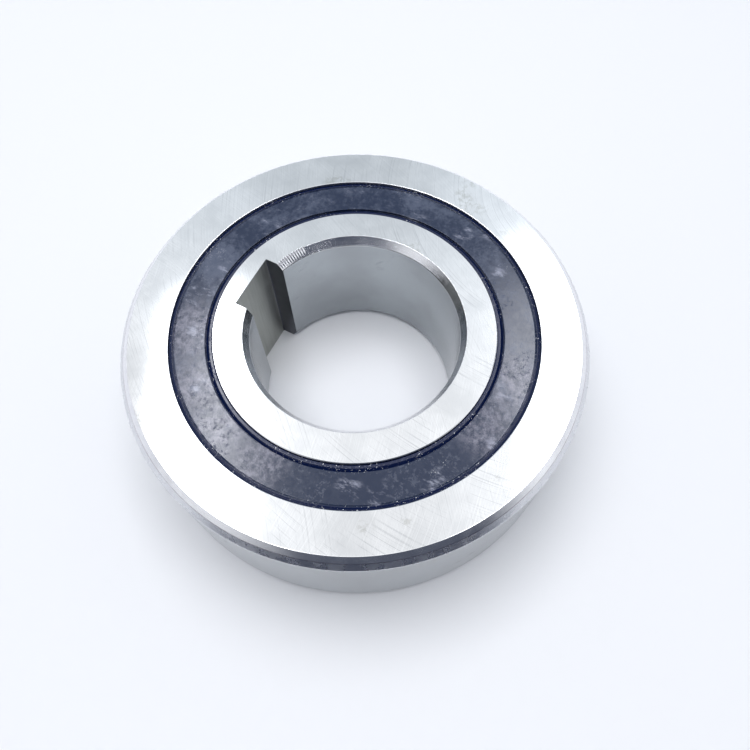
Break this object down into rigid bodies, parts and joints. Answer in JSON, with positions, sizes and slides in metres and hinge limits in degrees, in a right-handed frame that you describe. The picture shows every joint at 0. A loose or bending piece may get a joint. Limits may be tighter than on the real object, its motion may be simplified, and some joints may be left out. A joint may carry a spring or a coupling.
{
  "type": "sprag clutch",
  "caption": "Sealed one-way clutch bearing: sprags between two rings lock a keyed shaft to its housing one way and let it overrun the other.",
  "frame": {"origin": "centre of the bearing, on its axis at mid width", "axes": "+Z along the bore axis towards the upper seal, +Y towards the keyway"},
  "size_m": [0.062, 0.062, 0.02],
  "materials": {
    "ring_steel": "ground faces and bore, turned corners left dark",
    "ball_steel": "polished bearing steel",
    "sprag_steel": "ground cam faces",
    "cage_steel": "punched sheet",
    "spring_steel": "rolled strip",
    "insert_steel": "pressed sheet",
    "cage_polyamide": "moulded, natural colour",
    "seal_rubber": "moulded nitrile rubber with a grey bloom"
  },
  "bodies": {
    "outer_assembly": {"outer_ring": "ring_steel", "sprag_outer_cage": "cage_steel", "ribbon_spring": "spring_steel", "upper_seal_rubber": "seal_rubber", "upper_seal_insert": "insert_steel", "lower_seal_rubber": "seal_rubber", "lower_seal_insert": "insert_steel"},
    "inner_ring": {"inner_ring": "ring_steel"},
    "ball_cage": {"ball_cage": "cage_polyamide"},
    "sprag_inner_cage": {"sprag_inner_cage": "cage_steel"},
    "ball_01": {"ball_01": "ball_steel"},
    "ball_02": {"ball_02": "ball_steel"},
    "ball_03": {"ball_03": "ball_steel"},
    "ball_04": {"ball_04": "ball_steel"},
    "ball_05": {"ball_05": "ball_steel"},
    "ball_06": {"ball_06": "ball_steel"},
    "ball_07": {"ball_07": "ball_steel"},
    "ball_08": {"ball_08": "ball_steel"},
    "ball_09": {"ball_09": "ball_steel"},
    "sprag_01": {"sprag_01": "sprag_steel"},
    "sprag_02": {"sprag_02": "sprag_steel"},
    "sprag_03": {"sprag_03": "sprag_steel"},
    "sprag_04": {"sprag_04": "sprag_steel"},
    "sprag_05": {"sprag_05": "sprag_steel"},
    "sprag_06": {"sprag_06": "sprag_steel"},
    "sprag_07": {"sprag_07": "sprag_steel"},
    "sprag_08": {"sprag_08": "sprag_steel"},
    "sprag_09": {"sprag_09": "sprag_steel"},
    "sprag_10": {"sprag_10": "sprag_steel"},
    "sprag_11": {"sprag_11": "sprag_steel"},
    "sprag_12": {"sprag_12": "sprag_steel"},
    "sprag_13": {"sprag_13": "sprag_steel"},
    "sprag_14": {"sprag_14": "sprag_steel"},
    "sprag_15": {"sprag_15": "sprag_steel"},
    "sprag_16": {"sprag_16": "sprag_steel"},
    "sprag_17": {"sprag_17": "sprag_steel"},
    "sprag_18": {"sprag_18": "sprag_steel"}
  },
  "joints": [
    {"name": "inner_ring_spin", "type": "hinge", "parent": "outer_assembly", "child": "inner_ring", "pos_m": [0, 0, 0], "axis": [0, 0, 1], "continuous": true},
    {"name": "ball_cage_spin", "type": "hinge", "parent": "outer_assembly", "child": "ball_cage", "pos_m": [0, 0, -0.00376], "axis": [0, 0, 1], "continuous": true},
    {"name": "ball_01_spin", "type": "hinge", "parent": "ball_cage", "child": "ball_01", "pos_m": [0.02085, 0, -0.00376], "axis": [0, 0, 1], "continuous": true},
    {"name": "ball_02_spin", "type": "hinge", "parent": "ball_cage", "child": "ball_02", "pos_m": [0.01597, 0.0134, -0.00376], "axis": [0, 0, 1], "continuous": true},
    {"name": "ball_03_spin", "type": "hinge", "parent": "ball_cage", "child": "ball_03", "pos_m": [0.00362, 0.02053, -0.00376], "axis": [0, 0, 1], "continuous": true},
    {"name": "ball_04_spin", "type": "hinge", "parent": "ball_cage", "child": "ball_04", "pos_m": [-0.01043, 0.01806, -0.00376], "axis": [0, 0, 1], "continuous": true},
    {"name": "ball_05_spin", "type": "hinge", "parent": "ball_cage", "child": "ball_05", "pos_m": [-0.01959, 0.00713, -0.00376], "axis": [0, 0, 1], "continuous": true},
    {"name": "ball_06_spin", "type": "hinge", "parent": "ball_cage", "child": "ball_06", "pos_m": [-0.01959, -0.00713, -0.00376], "axis": [0, 0, 1], "continuous": true},
    {"name": "ball_07_spin", "type": "hinge", "parent": "ball_cage", "child": "ball_07", "pos_m": [-0.01043, -0.01806, -0.00376], "axis": [0, 0, 1], "continuous": true},
    {"name": "ball_08_spin", "type": "hinge", "parent": "ball_cage", "child": "ball_08", "pos_m": [0.00362, -0.02053, -0.00376], "axis": [0, 0, 1], "continuous": true},
    {"name": "ball_09_spin", "type": "hinge", "parent": "ball_cage", "child": "ball_09", "pos_m": [0.01597, -0.0134, -0.00376], "axis": [0, 0, 1], "continuous": true},
    {"name": "sprag_01_tilt", "type": "hinge", "parent": "outer_assembly", "child": "sprag_01", "pos_m": [0.02085, 0, 0.00386], "axis": [0, 0, 1], "range_deg": [-4, 5], "stiffness_Nm_per_rad": 0.0002},
    {"name": "sprag_02_tilt", "type": "hinge", "parent": "outer_assembly", "child": "sprag_02", "pos_m": [0.01959, 0.00713, 0.00386], "axis": [0, 0, 1], "range_deg": [-4, 5], "stiffness_Nm_per_rad": 0.0002},
    {"name": "sprag_03_tilt", "type": "hinge", "parent": "outer_assembly", "child": "sprag_03", "pos_m": [0.01597, 0.0134, 0.00386], "axis": [0, 0, 1], "range_deg": [-4, 5], "stiffness_Nm_per_rad": 0.0002},
    {"name": "sprag_04_tilt", "type": "hinge", "parent": "outer_assembly", "child": "sprag_04", "pos_m": [0.01043, 0.01806, 0.00386], "axis": [0, 0, 1], "range_deg": [-4, 5], "stiffness_Nm_per_rad": 0.0002},
    {"name": "sprag_05_tilt", "type": "hinge", "parent": "outer_assembly", "child": "sprag_05", "pos_m": [0.00362, 0.02053, 0.00386], "axis": [0, 0, 1], "range_deg": [-4, 5], "stiffness_Nm_per_rad": 0.0002},
    {"name": "sprag_06_tilt", "type": "hinge", "parent": "outer_assembly", "child": "sprag_06", "pos_m": [-0.00362, 0.02053, 0.00386], "axis": [0, 0, 1], "range_deg": [-4, 5], "stiffness_Nm_per_rad": 0.0002},
    {"name": "sprag_07_tilt", "type": "hinge", "parent": "outer_assembly", "child": "sprag_07", "pos_m": [-0.01043, 0.01806, 0.00386], "axis": [0, 0, 1], "range_deg": [-4, 5], "stiffness_Nm_per_rad": 0.0002},
    {"name": "sprag_08_tilt", "type": "hinge", "parent": "outer_assembly", "child": "sprag_08", "pos_m": [-0.01597, 0.0134, 0.00386], "axis": [0, 0, 1], "range_deg": [-4, 5], "stiffness_Nm_per_rad": 0.0002},
    {"name": "sprag_09_tilt", "type": "hinge", "parent": "outer_assembly", "child": "sprag_09", "pos_m": [-0.01959, 0.00713, 0.00386], "axis": [0, 0, 1], "range_deg": [-4, 5], "stiffness_Nm_per_rad": 0.0002},
    {"name": "sprag_10_tilt", "type": "hinge", "parent": "outer_assembly", "child": "sprag_10", "pos_m": [-0.02085, 0, 0.00386], "axis": [0, 0, 1], "range_deg": [-4, 5], "stiffness_Nm_per_rad": 0.0002},
    {"name": "sprag_11_tilt", "type": "hinge", "parent": "outer_assembly", "child": "sprag_11", "pos_m": [-0.01959, -0.00713, 0.00386], "axis": [0, 0, 1], "range_deg": [-4, 5], "stiffness_Nm_per_rad": 0.0002},
    {"name": "sprag_12_tilt", "type": "hinge", "parent": "outer_assembly", "child": "sprag_12", "pos_m": [-0.01597, -0.0134, 0.00386], "axis": [0, 0, 1], "range_deg": [-4, 5], "stiffness_Nm_per_rad": 0.0002},
    {"name": "sprag_13_tilt", "type": "hinge", "parent": "outer_assembly", "child": "sprag_13", "pos_m": [-0.01043, -0.01806, 0.00386], "axis": [0, 0, 1], "range_deg": [-4, 5], "stiffness_Nm_per_rad": 0.0002},
    {"name": "sprag_14_tilt", "type": "hinge", "parent": "outer_assembly", "child": "sprag_14", "pos_m": [-0.00362, -0.02053, 0.00386], "axis": [0, 0, 1], "range_deg": [-4, 5], "stiffness_Nm_per_rad": 0.0002},
    {"name": "sprag_15_tilt", "type": "hinge", "parent": "outer_assembly", "child": "sprag_15", "pos_m": [0.00362, -0.02053, 0.00386], "axis": [0, 0, 1], "range_deg": [-4, 5], "stiffness_Nm_per_rad": 0.0002},
    {"name": "sprag_16_tilt", "type": "hinge", "parent": "outer_assembly", "child": "sprag_16", "pos_m": [0.01043, -0.01806, 0.00386], "axis": [0, 0, 1], "range_deg": [-4, 5], "stiffness_Nm_per_rad": 0.0002},
    {"name": "sprag_17_tilt", "type": "hinge", "parent": "outer_assembly", "child": "sprag_17", "pos_m": [0.01597, -0.0134, 0.00386], "axis": [0, 0, 1], "range_deg": [-4, 5], "stiffness_Nm_per_rad": 0.0002},
    {"name": "sprag_18_tilt", "type": "hinge", "parent": "outer_assembly", "child": "sprag_18", "pos_m": [0.01959, -0.00713, 0.00386], "axis": [0, 0, 1], "range_deg": [-4, 5], "stiffness_Nm_per_rad": 0.0002},
    {"name": "sprag_inner_cage_phase", "type": "hinge", "parent": "outer_assembly", "child": "sprag_inner_cage", "pos_m": [0, 0, 0.00386], "axis": [0, 0, 1], "range_deg": [-0.35, 0.3]}
  ],
  "couplings": [
    {"joint": "ball_cage_spin", "follows": "inner_ring_spin", "ratio": 0.42386},
    {"joint": "ball_01_spin", "follows": "inner_ring_spin", "ratio": -3.2073},
    {"joint": "ball_02_spin", "follows": "inner_ring_spin", "ratio": -3.2073},
    {"joint": "ball_03_spin", "follows": "inner_ring_spin", "ratio": -3.2073},
    {"joint": "ball_04_spin", "follows": "inner_ring_spin", "ratio": -3.2073},
    {"joint": "ball_05_spin", "follows": "inner_ring_spin", "ratio": -3.2073},
    {"joint": "ball_06_spin", "follows": "inner_ring_spin", "ratio": -3.2073},
    {"joint": "ball_07_spin", "follows": "inner_ring_spin", "ratio": -3.2073},
    {"joint": "ball_08_spin", "follows": "inner_ring_spin", "ratio": -3.2073},
    {"joint": "ball_09_spin", "follows": "inner_ring_spin", "ratio": -3.2073},
    {"joint": "sprag_02_tilt", "follows": "sprag_01_tilt", "ratio": 1},
    {"joint": "sprag_03_tilt", "follows": "sprag_01_tilt", "ratio": 1},
    {"joint": "sprag_04_tilt", "follows": "sprag_01_tilt", "ratio": 1},
    {"joint": "sprag_05_tilt", "follows": "sprag_01_tilt", "ratio": 1},
    {"joint": "sprag_06_tilt", "follows": "sprag_01_tilt", "ratio": 1},
    {"joint": "sprag_07_tilt", "follows": "sprag_01_tilt", "ratio": 1},
    {"joint": "sprag_08_tilt", "follows": "sprag_01_tilt", "ratio": 1},
    {"joint": "sprag_09_tilt", "follows": "sprag_01_tilt", "ratio": 1},
    {"joint": "sprag_10_tilt", "follows": "sprag_01_tilt", "ratio": 1},
    {"joint": "sprag_11_tilt", "follows": "sprag_01_tilt", "ratio": 1},
    {"joint": "sprag_12_tilt", "follows": "sprag_01_tilt", "ratio": 1},
    {"joint": "sprag_13_tilt", "follows": "sprag_01_tilt", "ratio": 1},
    {"joint": "sprag_14_tilt", "follows": "sprag_01_tilt", "ratio": 1},
    {"joint": "sprag_15_tilt", "follows": "sprag_01_tilt", "ratio": 1},
    {"joint": "sprag_16_tilt", "follows": "sprag_01_tilt", "ratio": 1},
    {"joint": "sprag_17_tilt", "follows": "sprag_01_tilt", "ratio": 1},
    {"joint": "sprag_18_tilt", "follows": "sprag_01_tilt", "ratio": 1},
    {"joint": "sprag_inner_cage_phase", "follows": "sprag_01_tilt", "ratio": -0.058376}
  ]
}
